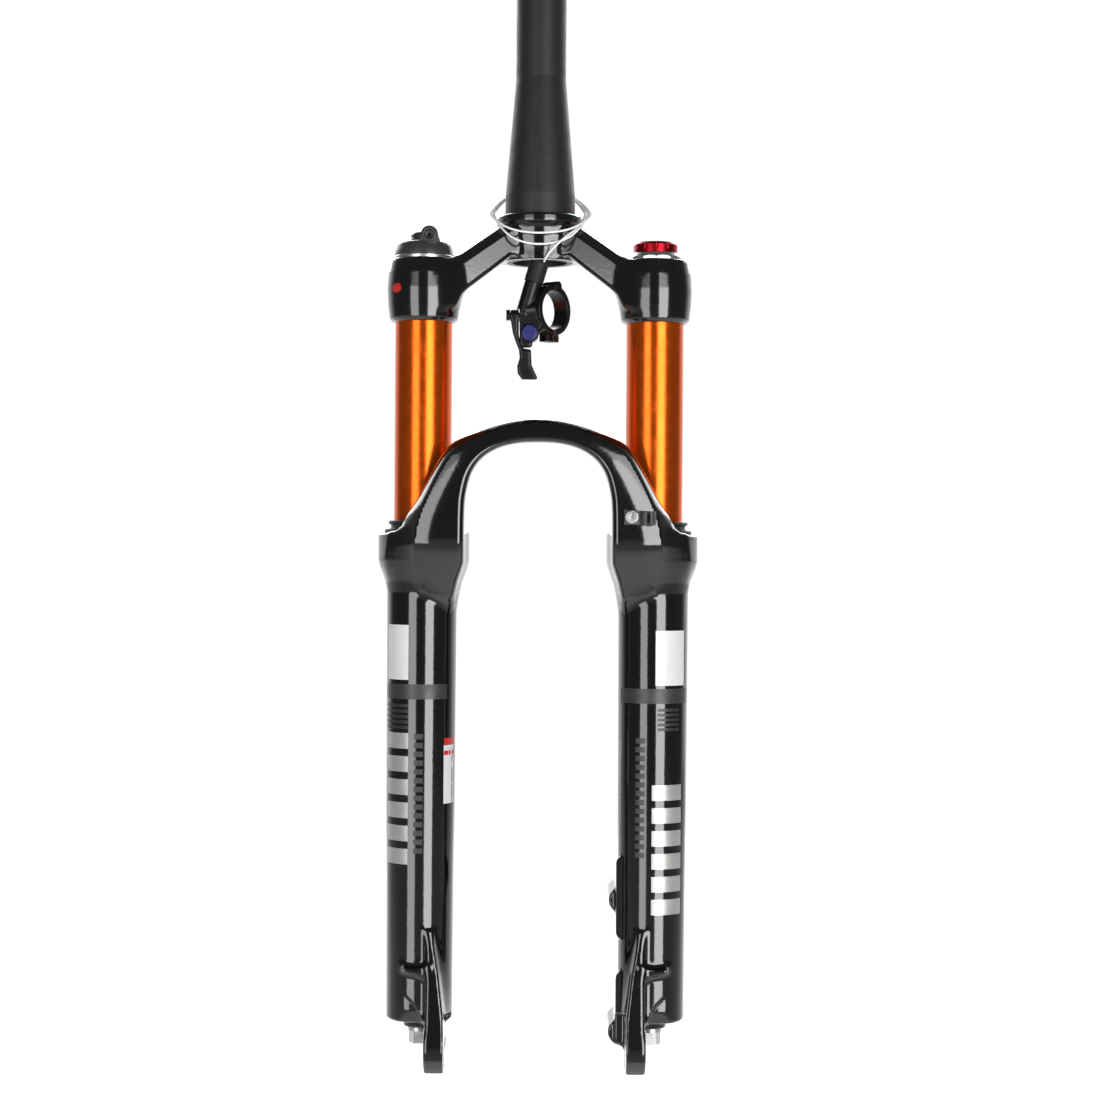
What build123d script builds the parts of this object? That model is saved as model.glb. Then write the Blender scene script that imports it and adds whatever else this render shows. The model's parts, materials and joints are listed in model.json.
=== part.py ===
from build123d import *
import math
import os

# Bicycle air suspension fork, 32 mm stanchions, 100 mm travel, with a remote lockout.
# Frame: origin on the steerer axis at the crown race seat, +Z up the steerer,
# +X towards the rider's left (the air leg), -Y towards the front of the bicycle.
# All sizes are in millimetres, with the fork fully extended.

# Layout
STANCHION_X = 65
STANCHION_Y = -22
STANCHION_R = 16
STANCHION_WALL = 1.6
STANCHION_TOP = -27.5
STANCHION_BOTTOM = -296
AXLE_Y = -42
AXLE_Z = -465
AXLE_R = 4.6
DROPOUT_GAP = 100

# Steerer and crown
STEERER_TOP = 255
STEERER_R = 14.3
STEERER_BORE_R = 11.7
TAPER_TOP = 79
RACE_SEAT_R = 19.9
RACE_SEAT_H = 12
PRESSED_R = 18.6
HUB_BOTTOM = -26
CLAMP_BOTTOM = -62.8
ARM_BEVEL = 4

# Lower casting
LUG_TOP = -181.5
LUG_R = 24.7
LEG_BORE_R = 17
LEG_FLOOR = -445
LEG_BOTTOM = -453.5
FOOT_BOSS_BOTTOM = -457.5
NUT_CLEARANCE_R = 7.4
ARCH_BACK = -43.6
ARCH_FRONT = -58
SHAFT_R = 5
SHAFT_THREAD_R = 4
POST_X = 48.5
POST_FACE_Y = 12
POST_HOLES_Z = (-386, -460)
POST_HOLE_R = 2.5
HOSE_BOLT = (51, -171.7)

# Fits
RUNNING = 0.04
SLIDING = 0.08

# Remote lever, hung under the crown on its control wire
BOOT_TOP = Vector(-0.2, -27, -29)
BARREL_DIRECTION = Vector(-0.284, 0, -0.959)
BOOT_R = 5.4
BARREL_R = 4.9
BAR_CLAMP_CENTRE = Vector(5, -20, -55)
BAR_CLAMP_ANGLE = 51
BAR_R = 11.1
BAR_CLAMP_R = 14.1
BAR_CLAMP_WIDTH = 9.5
PIVOT_Y = -28.5
PIVOT_Z = -58.7
PIVOT_PIN_R = 1.5
BUTTON_X = -5.5
BUTTON_Z = -69
BUTTON_R = 4.4

# Control wire: two loose turns round the foot of the steerer
WIRE_R = 0.6
WIRE_FROM, WIRE_TO = -38, 808
WIRE_STEPS = 33
LOOP_HALF_WIDTH = 26.2
LOOP_GROWTH = 1.6
LOOP_CENTRE_Y = -2.6
LOOP_MIDDLE_Z = 2
LOOP_RISE = 18.5
STRAND_SPREAD = 3.2
LOOP_SQUARENESS = 0.74
LOOP_DIP = 1.5

UP_FROM = (Align.CENTER, Align.CENTER, Align.MIN)
LEGS = {"damper": -STANCHION_X, "air": STANCHION_X}
TUBE_R = STANCHION_R - STANCHION_WALL


def disc(radius, low, high, x=0, y=0):
    """An upright cylinder between two heights."""
    return Pos(x, y, low) * Cylinder(radius, high - low, align=UP_FROM)


def ring(outer, inner, low, high, x=0, y=0):
    """An upright ring or tube between two heights."""
    return disc(outer, low, high, x, y) - disc(inner, low - 1, high + 1, x, y)


def turned(profile, x=0, y=0):
    """A solid turned about an upright axis from its (radius, height) outline."""
    points = [(radius, 0, height) for radius, height in profile]
    face = make_face(Polyline(*points, close=True))
    return Pos(x, y, 0) * revolve(face, Axis.Z)


def rod(start, end, radius):
    """A round bar from one point to another."""
    start, end = Vector(*start), Vector(*end)
    run = end - start
    return Plane(origin=start, z_dir=run) * Cylinder(radius, run.length, align=UP_FROM)


def slab_xz(points, y_low, y_high):
    """An (x, z) outline given thickness along Y."""
    face = make_face(Polyline(*[(x, y_low, z) for x, z in points], close=True))
    return extrude(face, y_high - y_low, dir=(0, 1, 0))


def slab_yz(points, x_low, x_high):
    """A (y, z) outline given thickness along X."""
    face = make_face(Polyline(*[(x_low, y, z) for y, z in points], close=True))
    return extrude(face, x_high - x_low, dir=(1, 0, 0))


def slab_xy(points, z_low, z_high):
    """An (x, y) outline given height."""
    face = make_face(Polyline(*[(x, y, z_low) for x, y in points], close=True))
    return extrude(face, z_high - z_low, dir=(0, 0, 1))


def coil_spring(radius, wire, low, high, turns, x=0, y=0):
    """A round-wire compression or torsion spring about an upright axis."""
    height = high - low - 2 * wire
    path = Helix(pitch=height / turns, height=height, radius=radius)
    section = Plane(origin=path @ 0, z_dir=path % 0) * Circle(wire)
    return Pos(x, y, low + wire) * sweep(section, path=path, is_frenet=True)


def both_legs(make):
    """The same piece in each leg, as one group of separate solids."""
    return Compound(children=[make(x) for x in LEGS.values()])


# ---- steerer and crown ----------------------------------------------------

def steerer_tube():
    """Tapered aluminium steerer, pressed into the crown below the race seat."""
    return turned([
        (STEERER_BORE_R, STEERER_TOP),
        (STEERER_R - 0.5, STEERER_TOP),
        (STEERER_R, STEERER_TOP - 0.5),
        (STEERER_R, TAPER_TOP),
        (RACE_SEAT_R, RACE_SEAT_H),
        (RACE_SEAT_R, 0),
        (PRESSED_R, 0),
        (PRESSED_R, HUB_BOTTOM),
        (PRESSED_R - 3, HUB_BOTTOM),
        (PRESSED_R - 3, RACE_SEAT_H),
        (STEERER_BORE_R, TAPER_TOP - 4),
    ])


def crown_arm(side):
    """One sloping arm from the hub to a stanchion clamp, bevelled along its top front edge."""
    front_view = [
        (0, -8), (22.5, -8), (47, -26.3), (52, -27.5), (58, -27.5),
        (58, -53), (47.5, -53), (43.5, -47.3), (16, -26), (0, -26),
    ]
    plan = [
        (0, -15.9), (54, -35.5), (62, -36),
        (62, -8), (50, -8), (24, 17), (0, 19),
    ]
    arm = slab_xz([(side * x, z) for x, z in front_view], -50, 30)
    arm &= slab_xy([(side * x, y) for x, y in plan], -60, 0)
    front = Vector(-19.6 * side, -54, 0).normalized()
    top = Vector(18.3 * side, 0, 24.5).normalized()
    bevel = Plane(origin=(side * 34, -28.2, -16.6), z_dir=front + top)
    return arm - bevel * Pos(0, 0, 15 - ARM_BEVEL) * Box(150, 150, 30)


def clamp_barrel(x):
    """The barrel-shaped clamp that holds a stanchion."""
    return turned([
        (0, STANCHION_TOP), (18.0, STANCHION_TOP), (18.7, STANCHION_TOP - 0.8),
        (20.0, STANCHION_TOP - 8), (20.6, STANCHION_TOP - 17), (20.1, STANCHION_TOP - 26),
        (19.2, CLAMP_BOTTOM + 2), (17.6, CLAMP_BOTTOM), (0, CLAMP_BOTTOM),
    ], x, STANCHION_Y)


def crown():
    """Forged crown: hub, two arms and two clamps, bored for the steerer and stanchions."""
    body = turned([
        (0, 0), (23.9, 0), (24.7, -0.8), (24.7, -4.2), (22.8, -8),
        (21.9, -20), (21.9, HUB_BOTTOM), (0, HUB_BOTTOM),
    ])
    for side in (-1, 1):
        body += crown_arm(side)
    for x in LEGS.values():
        body += clamp_barrel(x)
    body -= disc(PRESSED_R, HUB_BOTTOM - 30, 5)
    for x in LEGS.values():
        body -= disc(STANCHION_R, CLAMP_BOTTOM - 5, STANCHION_TOP + 5, x, STANCHION_Y)
        body -= disc(17.4, STANCHION_TOP, STANCHION_TOP + 20, x, STANCHION_Y)
    return body


# ---- legs: pieces held by the crown ---------------------------------------

def stanchion(x):
    """Upper tube, with a groove for the ring that holds the seal head."""
    tube = ring(STANCHION_R, TUBE_R, STANCHION_BOTTOM, STANCHION_TOP, x, STANCHION_Y)
    return tube - ring(TUBE_R + 0.8, TUBE_R - 1, -291.8, -290.2, x, STANCHION_Y)


def seal_head(x):
    """Plug at the foot of the stanchion, with the shaft running through it."""
    bush = SHAFT_R + RUNNING
    return turned([
        (bush, -290), (TUBE_R, -290), (TUBE_R, -286.5), (TUBE_R - 1.6, -286.5),
        (TUBE_R - 1.6, -283.5), (TUBE_R, -283.5), (TUBE_R, -279), (bush + 3, -278), (bush, -278),
    ], x, STANCHION_Y)


def seal_head_o_ring(x):
    return ring(TUBE_R, TUBE_R - 1.6, -286.5, -283.5, x, STANCHION_Y)


def retaining_ring(x):
    return ring(TUBE_R + 0.8, TUBE_R - 2.5, -291.6, -290.4, x, STANCHION_Y)


def damper_top_cap():
    """Aluminium cap screwed into the damper stanchion, with a bright rim under the housing."""
    return turned([
        (3.2, -40), (TUBE_R, -40), (TUBE_R, STANCHION_TOP), (16.9, STANCHION_TOP),
        (16.9, -25.9), (16.5, -25.5), (10, -25.5), (10, -23.2), (3.2, -23.2),
    ], -STANCHION_X, STANCHION_Y)


def lockout_housing():
    """Moulded housing over the damper cap, with the wire port on its front."""
    x = -STANCHION_X
    shell = turned([
        (10, -25.5), (16.6, -25.5), (16.2, -22.6), (15.4, -19.8), (14.4, -18.4), (12.6, -17.7),
        (9.1, -17.7), (9.1, -22.9), (10, -22.9),
    ], x, STANCHION_Y)
    port_x, port_z = x + 3.4, -14.8
    hood = [(x - 3, -19.3), (x - 1.6, -14.3), (port_x, -11.8), (x + 7.6, -13.8), (x + 9.8, -19.3)]
    port = slab_xz(hood, -36.5, -31.3)
    port += rod((port_x, -31.3, port_z), (port_x, -36.5, port_z), 4.75)
    barrel = rod((port_x, -31.3, port_z), (port_x, -38.2, port_z), 4.15)
    bore = rod((port_x, -30, port_z), (port_x, -40, port_z), 0.9)
    seat = rod((port_x, -35.2, port_z), (port_x, -40, port_z), 2.6)
    return shell + port + barrel - bore - seat


def compression_tube():
    """Tube that hangs the compression valve below the damper cap."""
    return ring(9, 7.6, -124, -40, -STANCHION_X, STANCHION_Y)


def compression_valve():
    """Valve body at the foot of the compression tube, with four oil ports."""
    body = turned([
        (2.6, -136), (12, -136), (TUBE_R - 0.1, -133), (TUBE_R - 0.1, -131), (TUBE_R - 1.7, -131),
        (TUBE_R - 1.7, -128.5), (TUBE_R - 0.1, -128.5), (TUBE_R - 0.1, -124), (2.6, -124),
    ], -STANCHION_X, STANCHION_Y)
    for turn in range(4):
        angle = math.radians(45 + 90 * turn)
        x, y = -STANCHION_X + 5.2 * math.cos(angle), STANCHION_Y + 5.2 * math.sin(angle)
        body -= disc(1.5, -140, -120, x, y)
    return body


def compression_valve_o_ring():
    return ring(TUBE_R, TUBE_R - 1.7, -131, -128.5, -STANCHION_X, STANCHION_Y)


def air_top_cap():
    """Air cap with a faceted bevelled collar and a threaded stub round the valve."""
    cap = turned([
        (0, -38), (TUBE_R, -38), (TUBE_R, STANCHION_TOP), (15.4, STANCHION_TOP), (15.4, -26.2),
        (14.8, -25.4), (13.2, -23.4), (9.5, -23.4), (9.5, -19.6), (0, -19.6),
    ])
    cap &= extrude(Plane.XY.offset(-39) * RegularPolygon(15.3, 12), 30)
    return Pos(STANCHION_X, STANCHION_Y, 0) * (cap - disc(3.9, -40, 0))


def valve_body():
    """Tyre-type air valve fixed in the cap."""
    return ring(3.9, 2.6, -36, -18.7, STANCHION_X, STANCHION_Y)


def valve_core():
    return ring(2.6, 0.85, -34, -20.8, STANCHION_X, STANCHION_Y)


def valve_pin():
    """Sprung pin in the valve core, pressed down by a pump."""
    return turned([(0, -37), (1.3, -37), (1.3, -35.8), (0.8, -35.8), (0.8, -19.7), (0, -19.7)],
                  STANCHION_X, STANCHION_Y)


def air_valve_cap():
    """Castellated dust cap that screws over the stub of the air cap."""
    x, y = STANCHION_X, STANCHION_Y
    cap = turned([
        (9.5 + SLIDING, -23.2), (12.35, -23.2), (12.35, -18.6), (11, -17.2), (0, -17.2),
        (0, -18.4), (9.5 + SLIDING, -18.4),
    ], x, y)
    for notch in range(12):
        angle = math.radians(30 * notch)
        cap -= disc(0.9, -21.4, -16, x + 12.5 * math.cos(angle), y + 12.5 * math.sin(angle))
    return cap


# ---- lockout spool, turned by the wire ------------------------------------

def lockout_spool():
    """Domed spool that winds the wire in and turns the compression rod."""
    spool = turned([
        (2.6, -22.9), (8.6, -22.9), (8.6, -17.2), (8.3, -16.2), (7.4, -15.6), (7.4, -14.4),
        (7.8, -14), (6.8, -12.6), (4.4, -11.4), (3.1, -11.2), (3.1, -13.2), (2.6, -13.2),
    ], -STANCHION_X, STANCHION_Y)
    return spool - disc(1, -16.8, 0, -STANCHION_X - 4, STANCHION_Y + 3.5)


def spool_screw():
    """Button-head screw that holds the spool to the rod."""
    head = turned([
        (0, -16.8), (1.4, -16.8), (1.4, -13.2), (3, -13.2), (2.9, -11.4), (2, -10.8), (0, -10.8),
    ])
    head -= extrude(Plane.XY.offset(-12.4) * RegularPolygon(1.15, 6), 4)
    return Pos(-STANCHION_X, STANCHION_Y, 0) * head


def wire_pinch_screw():
    """Small grub screw that clamps the wire's end in the spool."""
    return disc(1, -16.8, -13, -STANCHION_X - 4, STANCHION_Y + 3.5)


def compression_rod():
    """Hexagonal-ended rod from the spool down to the compression valve."""
    rod_body = turned([
        (0, -135), (2.5, -135), (2.5, -13.2), (1.4, -13.2), (1.4, -16.8), (0, -16.8),
    ])
    return Pos(-STANCHION_X, STANCHION_Y, 0) * rod_body


def spool_spring():
    """Torsion spring that turns the spool back to open."""
    return coil_spring(6, 0.5, -46.5, -40.3, 3, -STANCHION_X, STANCHION_Y)


# ---- lowers ----------------------------------------------------------------

def leg_blank(x):
    """Outside of one leg: lug, taper, tube and foot boss."""
    return turned([
        (0, LUG_TOP), (LUG_R - 0.6, LUG_TOP), (LUG_R, LUG_TOP - 0.6), (LUG_R, -196), (23.6, -200),
        (20.6, -208), (19.6, -214), (18.8, -451.6), (17.9, -452.8), (13, LEG_BOTTOM),
        (9.2, LEG_BOTTOM), (8.8, FOOT_BOSS_BOTTOM), (0, FOOT_BOSS_BOTTOM),
    ], x, STANCHION_Y)


def leg_bores(x):
    """What is bored out of a leg: seal seat, main bore and shaft hole."""
    bores = disc(20.6, -195.4, LUG_TOP + 60, x, STANCHION_Y)
    bores += disc(LEG_BORE_R, LEG_FLOOR, LUG_TOP + 60, x, STANCHION_Y)
    bores += disc(NUT_CLEARANCE_R, FOOT_BOSS_BOTTOM - 30, FOOT_BOSS_BOTTOM, x, STANCHION_Y)
    return bores + disc(SHAFT_THREAD_R, FOOT_BOSS_BOTTOM - 5, LEG_FLOOR + 5, x, STANCHION_Y)


def arch():
    """Brace that joins the legs over the tyre, set forward of the crown's path."""
    outer = [
        (0, -116.7), (12, -117.5), (22.5, -119.9), (31, -122.6), (38, -125.6), (48, -131.2),
        (53, -136.9), (59.5, -148.2), (67, -163.6), (75, -173.5), (80, -182),
    ]
    inner = [
        (40.6, -182), (40.6, -166), (39.2, -156), (36.5, -147),
        (31, -139.5), (22, -134), (11, -131.4), (0, -131),
    ]
    right = outer + inner
    left = [(-x, z) for x, z in reversed(right)]
    span = slab_xz(right[:-1] + left[:-1], ARCH_FRONT, ARCH_BACK)
    for side in (-1, 1):
        foot = [(40.6, -170), (79, -181.5), (82, -200), (76, -222), (44, -222)]
        outline = [(side * x, z) for x, z in foot]
        profile = [
            (ARCH_FRONT, -165), (ARCH_BACK, -165), (ARCH_BACK, LUG_TOP), (-22, LUG_TOP),
            (-22, -222), (-40.5, -222), (-47, -208), (-54, -196), (ARCH_FRONT, -188),
        ]
        span += slab_xz(outline, -70, -10) & slab_yz(profile, -90, 90)
    return span


def dropout(side):
    """Forward axle blade with an open slot and a shallow nut recess on its outside."""
    outline = [(-30, -404), (-41, -402), (-47, -425), (-53, -447), (-56.5, -459)]
    inner_x, outer_x = DROPOUT_GAP / 2, DROPOUT_GAP / 2 + 10.4
    outline += [(-56.5, -470), (-50, -478), (-34, -478), (-26, -470), (-18, -450), (-18, -404)]
    x_low, x_high = sorted((side * inner_x, side * outer_x))
    blade = slab_yz(outline, x_low, x_high)
    front_view = [(57.5, -400), (61, -400), (61, -482), (49, -482), (50, -449), (53, -425)]
    blade &= slab_xz([(side * x, z) for x, z in front_view], -70, 0)
    blade += rod((x_low, AXLE_Y, AXLE_Z), (x_high, AXLE_Y, AXLE_Z), 14.5)
    return blade


def dropout_cut(side):
    """Axle slot, open downwards, and the recess that keeps a loose wheel in."""
    x_far = side * 70
    slot = rod((side * 45, AXLE_Y, AXLE_Z), (x_far, AXLE_Y, AXLE_Z), AXLE_R)
    x_low, x_high = sorted((side * 45, x_far))
    opening = [(AXLE_Y - AXLE_R, AXLE_Z), (AXLE_Y + AXLE_R, AXLE_Z),
               (AXLE_Y + AXLE_R, -490), (AXLE_Y - AXLE_R, -490)]
    slot += slab_yz(opening, x_low, x_high)
    return slot + rod((side * 58.8, AXLE_Y, AXLE_Z), (x_far, AXLE_Y, AXLE_Z), 9)


def post_mounts():
    """Two threaded brake bosses on the back of the air leg, with their ribs."""
    upper, lower = POST_HOLES_Z
    bosses = rod((POST_X, STANCHION_Y + 2, upper), (POST_X, POST_FACE_Y, upper), 7.5)
    bosses += rod((POST_X, -16, lower), (POST_X, POST_FACE_Y, lower), 7.5)
    upper_rib = [(-26, upper + 24), (-26, upper - 20), (6, upper - 5), (6, upper + 5)]
    bosses += slab_yz(upper_rib, POST_X - 3.5, POST_X + 10)
    lower_rib = [
        (-30, lower + 34), (-34, lower - 6), (6, lower - 5), (6, lower + 5), (-10, lower + 16),
    ]
    bosses += slab_yz(lower_rib, DROPOUT_GAP / 2 + 0.5, POST_X + 9.5)
    return bosses


def post_mount_holes():
    """Blind M6 holes, drilled from the rear face."""
    holes = [
        rod((POST_X, POST_FACE_Y - 16, z), (POST_X, POST_FACE_Y + 5, z), POST_HOLE_R)
        for z in POST_HOLES_Z
    ]
    return holes[0] + holes[1]


def lower_casting():
    """One-piece magnesium lowers: legs, arch, dropouts and brake mounts."""
    body = arch()
    for x in LEGS.values():
        body += leg_blank(x)
    for side in (-1, 1):
        body += dropout(side)
    body += post_mounts()
    for x in LEGS.values():
        body -= leg_bores(x)
    for side in (-1, 1):
        body -= dropout_cut(side)
        gap = DROPOUT_GAP / 2
        low, high = sorted((side * 20, side * gap))
        body -= slab_yz([(-70, -449), (-27.5, -449), (-27.5, -490), (-70, -490)], low, high)
    body -= post_mount_holes()
    return body - rod((HOSE_BOLT[0], ARCH_FRONT - 1, HOSE_BOLT[1]), (HOSE_BOLT[0], -50, HOSE_BOLT[1]), 2)


def wiper_seal(x):
    """Dust wiper pressed into the lug, its lip on the stanchion."""
    lip = STANCHION_R + RUNNING
    return turned([
        (lip, -174.2), (18.6, -174), (19, -174.6), (19, -175.6), (17.6, -176.4), (17.6, -178),
        (21.1, -179), (21.1, LUG_TOP), (20.6, LUG_TOP), (20.6, -189), (lip + 0.6, -189),
        (lip + 0.6, -180), (lip, -178),
    ], x, STANCHION_Y)


def foam_ring(x):
    return ring(20.6, STANCHION_R + SLIDING, -195.4, -189, x, STANCHION_Y)


def bushing(x, low, high):
    return ring(LEG_BORE_R, STANCHION_R + RUNNING, low, high, x, STANCHION_Y)


def shaft(x, bore=0.0):
    """Polished shaft with a shoulder on the leg floor and a threaded foot."""
    outline = [
        (bore, -262), (SHAFT_R, -262), (SHAFT_R, LEG_FLOOR),
        (SHAFT_THREAD_R, LEG_FLOOR), (SHAFT_THREAD_R, -466), (bore, -466),
    ]
    return turned(outline, x, STANCHION_Y)


def piston(x, bore_low):
    """Piston on the end of a shaft, with a groove for its ring."""
    groove = TUBE_R - 1.5
    edge = TUBE_R - RUNNING
    return turned([
        (bore_low, -270.6), (edge, -270.6), (edge, -266.5), (groove, -266.5), (groove, -262.5),
        (edge, -262.5), (edge, -257), (edge - 1, -256), (bore_low, -256),
    ], x, STANCHION_Y)


def piston_with_seat(x):
    """Piston whose lower bore takes the end of the shaft."""
    return piston(x, 0) - disc(SHAFT_R, -275, -262, x, STANCHION_Y)


def rebound_piston():
    """Damper piston with four oil ports and a hole for the adjuster's needle."""
    body = piston_with_seat(LEGS["damper"]) - disc(1.7, -270, -250, LEGS["damper"], STANCHION_Y)
    for turn in range(4):
        angle = math.radians(90 * turn)
        x, y = LEGS["damper"] + 9 * math.cos(angle), STANCHION_Y + 9 * math.sin(angle)
        body -= disc(1.4, -280, -250, x, y)
    return body


def piston_ring(x):
    return ring(TUBE_R - RUNNING, TUBE_R - 1.5, -266.5, -262.5, x, STANCHION_Y)


def top_out_bumper(x):
    """Rubber bumper between piston and seal head at full extension."""
    return ring(8.5, SHAFT_R, -277.6, -270.6, x, STANCHION_Y)


def bottom_out_bumper(x):
    return ring(10.5, SHAFT_R, LEG_FLOOR, LEG_FLOOR + 12, x, STANCHION_Y)


def crush_washer(x):
    return ring(6.6, SHAFT_THREAD_R, FOOT_BOSS_BOTTOM - 1, FOOT_BOSS_BOTTOM, x, STANCHION_Y)


def foot_nut(x):
    """Flanged hexagon nut that pulls the shaft down on to the leg floor."""
    top = FOOT_BOSS_BOTTOM - 1
    nut = extrude(Plane.XY.offset(-467) * RegularPolygon(5.8, 6), top + 467)
    nut += disc(6.4, top - 1.4, top)
    nut = Pos(x, STANCHION_Y, 0) * nut
    return nut - disc(SHAFT_THREAD_R, -480, top + 2, x, STANCHION_Y)


def rebound_adjuster():
    """Needle down the hollow damper shaft, turned with a hexagon key from below."""
    needle = turned([(0, -466), (1.5, -466), (1.5, -258), (0.6, -254), (0, -254)])
    needle -= extrude(Plane.XY.offset(-470) * RegularPolygon(1.0, 6), 8)
    return Pos(LEGS["damper"], STANCHION_Y, 0) * needle


def hose_guide():
    """Clip for the brake hose, bolted to the front of the arch on the air side."""
    x, z = HOSE_BOLT
    plate = [
        (x - 4, z - 4), (x + 11.5, z - 4.6), (x + 13.5, z - 3),
        (x + 13.5, z + 1.6), (x + 11.5, z + 3.2), (x - 4, z + 4),
    ]
    body = slab_xz(plate, ARCH_FRONT - 3, ARCH_FRONT)
    body += rod((x + 9, ARCH_FRONT - 3.2, z - 4.4), (x + 9, ARCH_FRONT - 3.2, z + 3), 4.2)
    behind = [(x, z - 20), (x + 30, z - 20), (x + 30, z + 20), (x, z + 20)]
    body -= slab_xz(behind, ARCH_FRONT, ARCH_FRONT + 8)
    body -= rod((x + 9, ARCH_FRONT - 3.2, z - 9), (x + 9, ARCH_FRONT - 3.2, z + 9), 2.6)
    mouth = [(x + 8, z - 9), (x + 10, z - 9), (x + 10, z + 9), (x + 8, z + 9)]
    body -= slab_xz(mouth, ARCH_FRONT - 12, ARCH_FRONT - 3)
    return body - rod((x, ARCH_FRONT - 10, z), (x, ARCH_FRONT + 1, z), 2)


def hose_guide_bolt():
    """Socket-head bolt of the hose guide."""
    x, z = HOSE_BOLT
    bolt = rod((x, ARCH_FRONT - 3, z), (x, -51, z), 2)
    bolt += rod((x, ARCH_FRONT - 3, z), (x, ARCH_FRONT - 6, z), 3.4)
    socket = Plane(origin=(x, ARCH_FRONT - 6, z), z_dir=(0, 1, 0)) * RegularPolygon(1.5, 6)
    return bolt - extrude(socket, 2, dir=(0, 1, 0))


# ---- remote lever ----------------------------------------------------------

def along_barrel(distance):
    """The point this far down the axis of the boot and barrel."""
    return BOOT_TOP + BARREL_DIRECTION * distance


def bar_clamp_plane():
    """Plane of the handlebar clamp, its normal along the handlebar."""
    angle = math.radians(BAR_CLAMP_ANGLE)
    normal = Vector(math.sin(angle), -math.cos(angle), 0)
    return Plane(origin=BAR_CLAMP_CENTRE, x_dir=(math.cos(angle), math.sin(angle), 0), z_dir=normal)


def bar_bore():
    return bar_clamp_plane() * Cylinder(BAR_R, 60)


def remote_body():
    """Perch: barrel, lever housing and the fixed half of the handlebar clamp."""
    barrel = rod(along_barrel(11.6), along_barrel(31), BARREL_R)
    housing = rod((-5.8, -31.6, -62), (-5.8, -20, -62), 7.2)
    button_block = rod((BUTTON_X, -32.4, BUTTON_Z), (BUTTON_X, -22, BUTTON_Z), BUTTON_R + 0.7)
    ear = rod((-11.2, PIVOT_Y, PIVOT_Z), (-7, PIVOT_Y, PIVOT_Z), 3.1)
    plane = bar_clamp_plane()
    band = plane * Cylinder(BAR_CLAMP_R, BAR_CLAMP_WIDTH)
    fixed_half = plane * Pos(-20, 0, 0) * Box(40, 40, 30)
    bridge = rod((-7, -27.5, -56), (-1.5, -29, -55.5), 4.5)
    bolt_ear = plane * Pos(-2.4, -BAR_CLAMP_R - 1.2, 0) * Box(4.4, 5.2, 5.4)
    body = barrel + housing + button_block + ear + (band & fixed_half) + bridge + bolt_ear
    body -= bar_bore()
    body -= plane * Pos(0, 0, BAR_CLAMP_WIDTH / 2 + 15) * Cylinder(BAR_R + 0.8, 30)
    body -= plane * Pos(0, 0, -BAR_CLAMP_WIDTH / 2 - 15) * Cylinder(BAR_R + 0.8, 30)
    body -= rod((BUTTON_X, -40, BUTTON_Z), (BUTTON_X, -26, BUTTON_Z), BUTTON_R)
    body -= rod((-20, PIVOT_Y, PIVOT_Z), (-8, PIVOT_Y, PIVOT_Z), PIVOT_PIN_R)
    body -= rod(along_barrel(0), along_barrel(24), 1.4)
    body -= Pos(-21.2, PIVOT_Y, -66.6) * Box(20, 24, 22.8)
    body -= plane * Pos(0, BAR_CLAMP_R - 1, 0) * Cylinder(1.3, 30)
    return body - plane * Pos(0, -BAR_CLAMP_R - 1.4, 0) * Rot(0, 90, 0) * Cylinder(1.25, 40)


def clamp_band():
    """Hinged half of the handlebar clamp, with its hinge knuckle and bolt ear."""
    plane = bar_clamp_plane()
    band = plane * Cylinder(BAR_CLAMP_R, BAR_CLAMP_WIDTH)
    band &= plane * Pos(20.2, 0, 0) * Box(40, 40, 30)
    band += plane * Pos(3.2, BAR_CLAMP_R - 0.6, 0) * Cylinder(2.9, BAR_CLAMP_WIDTH)
    band += plane * Pos(2.6, -BAR_CLAMP_R - 1.2, 0) * Box(4.8, 5.2, 7)
    band -= plane * Pos(-20 + 0.2, 0, 0) * Box(40, 60, 40)
    band -= plane * Pos(0, BAR_CLAMP_R - 1, 0) * Cylinder(1.3, 30)
    band -= plane * Pos(0, -BAR_CLAMP_R - 1.4, 0) * Rot(0, 90, 0) * Cylinder(1.25, 40)
    return band - bar_bore()


def clamp_hinge_pin():
    return bar_clamp_plane() * Pos(0, BAR_CLAMP_R - 1, 0) * Cylinder(1.3, BAR_CLAMP_WIDTH + 0.6)


def clamp_bolt():
    """Pinch bolt through the ears under the handlebar clamp."""
    bolt = Pos(3.2, 0, 0) * Rot(0, 90, 0) * Cylinder(1.25, 9)
    bolt += Pos(6, 0, 0) * Rot(0, 90, 0) * Cylinder(2.2, 2)
    return bar_clamp_plane() * Pos(0, -BAR_CLAMP_R - 1.4, 0) * bolt


def cable_boot():
    """Soft boot over the wire's entry to the barrel."""
    boot = rod(along_barrel(0), along_barrel(11.6), BOOT_R)
    return boot - rod(along_barrel(1), along_barrel(13), 1.4)


def remote_lever():
    """Thumb lever: hub on the pivot, curved blade and flared paddle."""
    y_low, y_high = PIVOT_Y - 2.6, PIVOT_Y + 2.6
    outline = [
        (-16.1, -58.7), (-15.9, -63), (-15, -68.5), (-13.2, -74), (-11.5, -78), (-11, -82.5),
        (-12.4, -87.2), (-12, -91.5), (-9.6, -94.8), (-1.6, -94.8), (-0.9, -93.6),
        (-4.2, -86.5), (-4.6, -78), (-8.6, -77.4), (-10.4, -75), (-11.5, -70), (-11.6, -58.7),
    ]
    blade = slab_xz(outline, y_low, y_high)
    hub = rod((-16.2, PIVOT_Y, PIVOT_Z), (-11.5, PIVOT_Y, PIVOT_Z), 3.1)
    return blade + hub - rod((-20, PIVOT_Y, PIVOT_Z), (-5, PIVOT_Y, PIVOT_Z), PIVOT_PIN_R + RUNNING)


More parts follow.
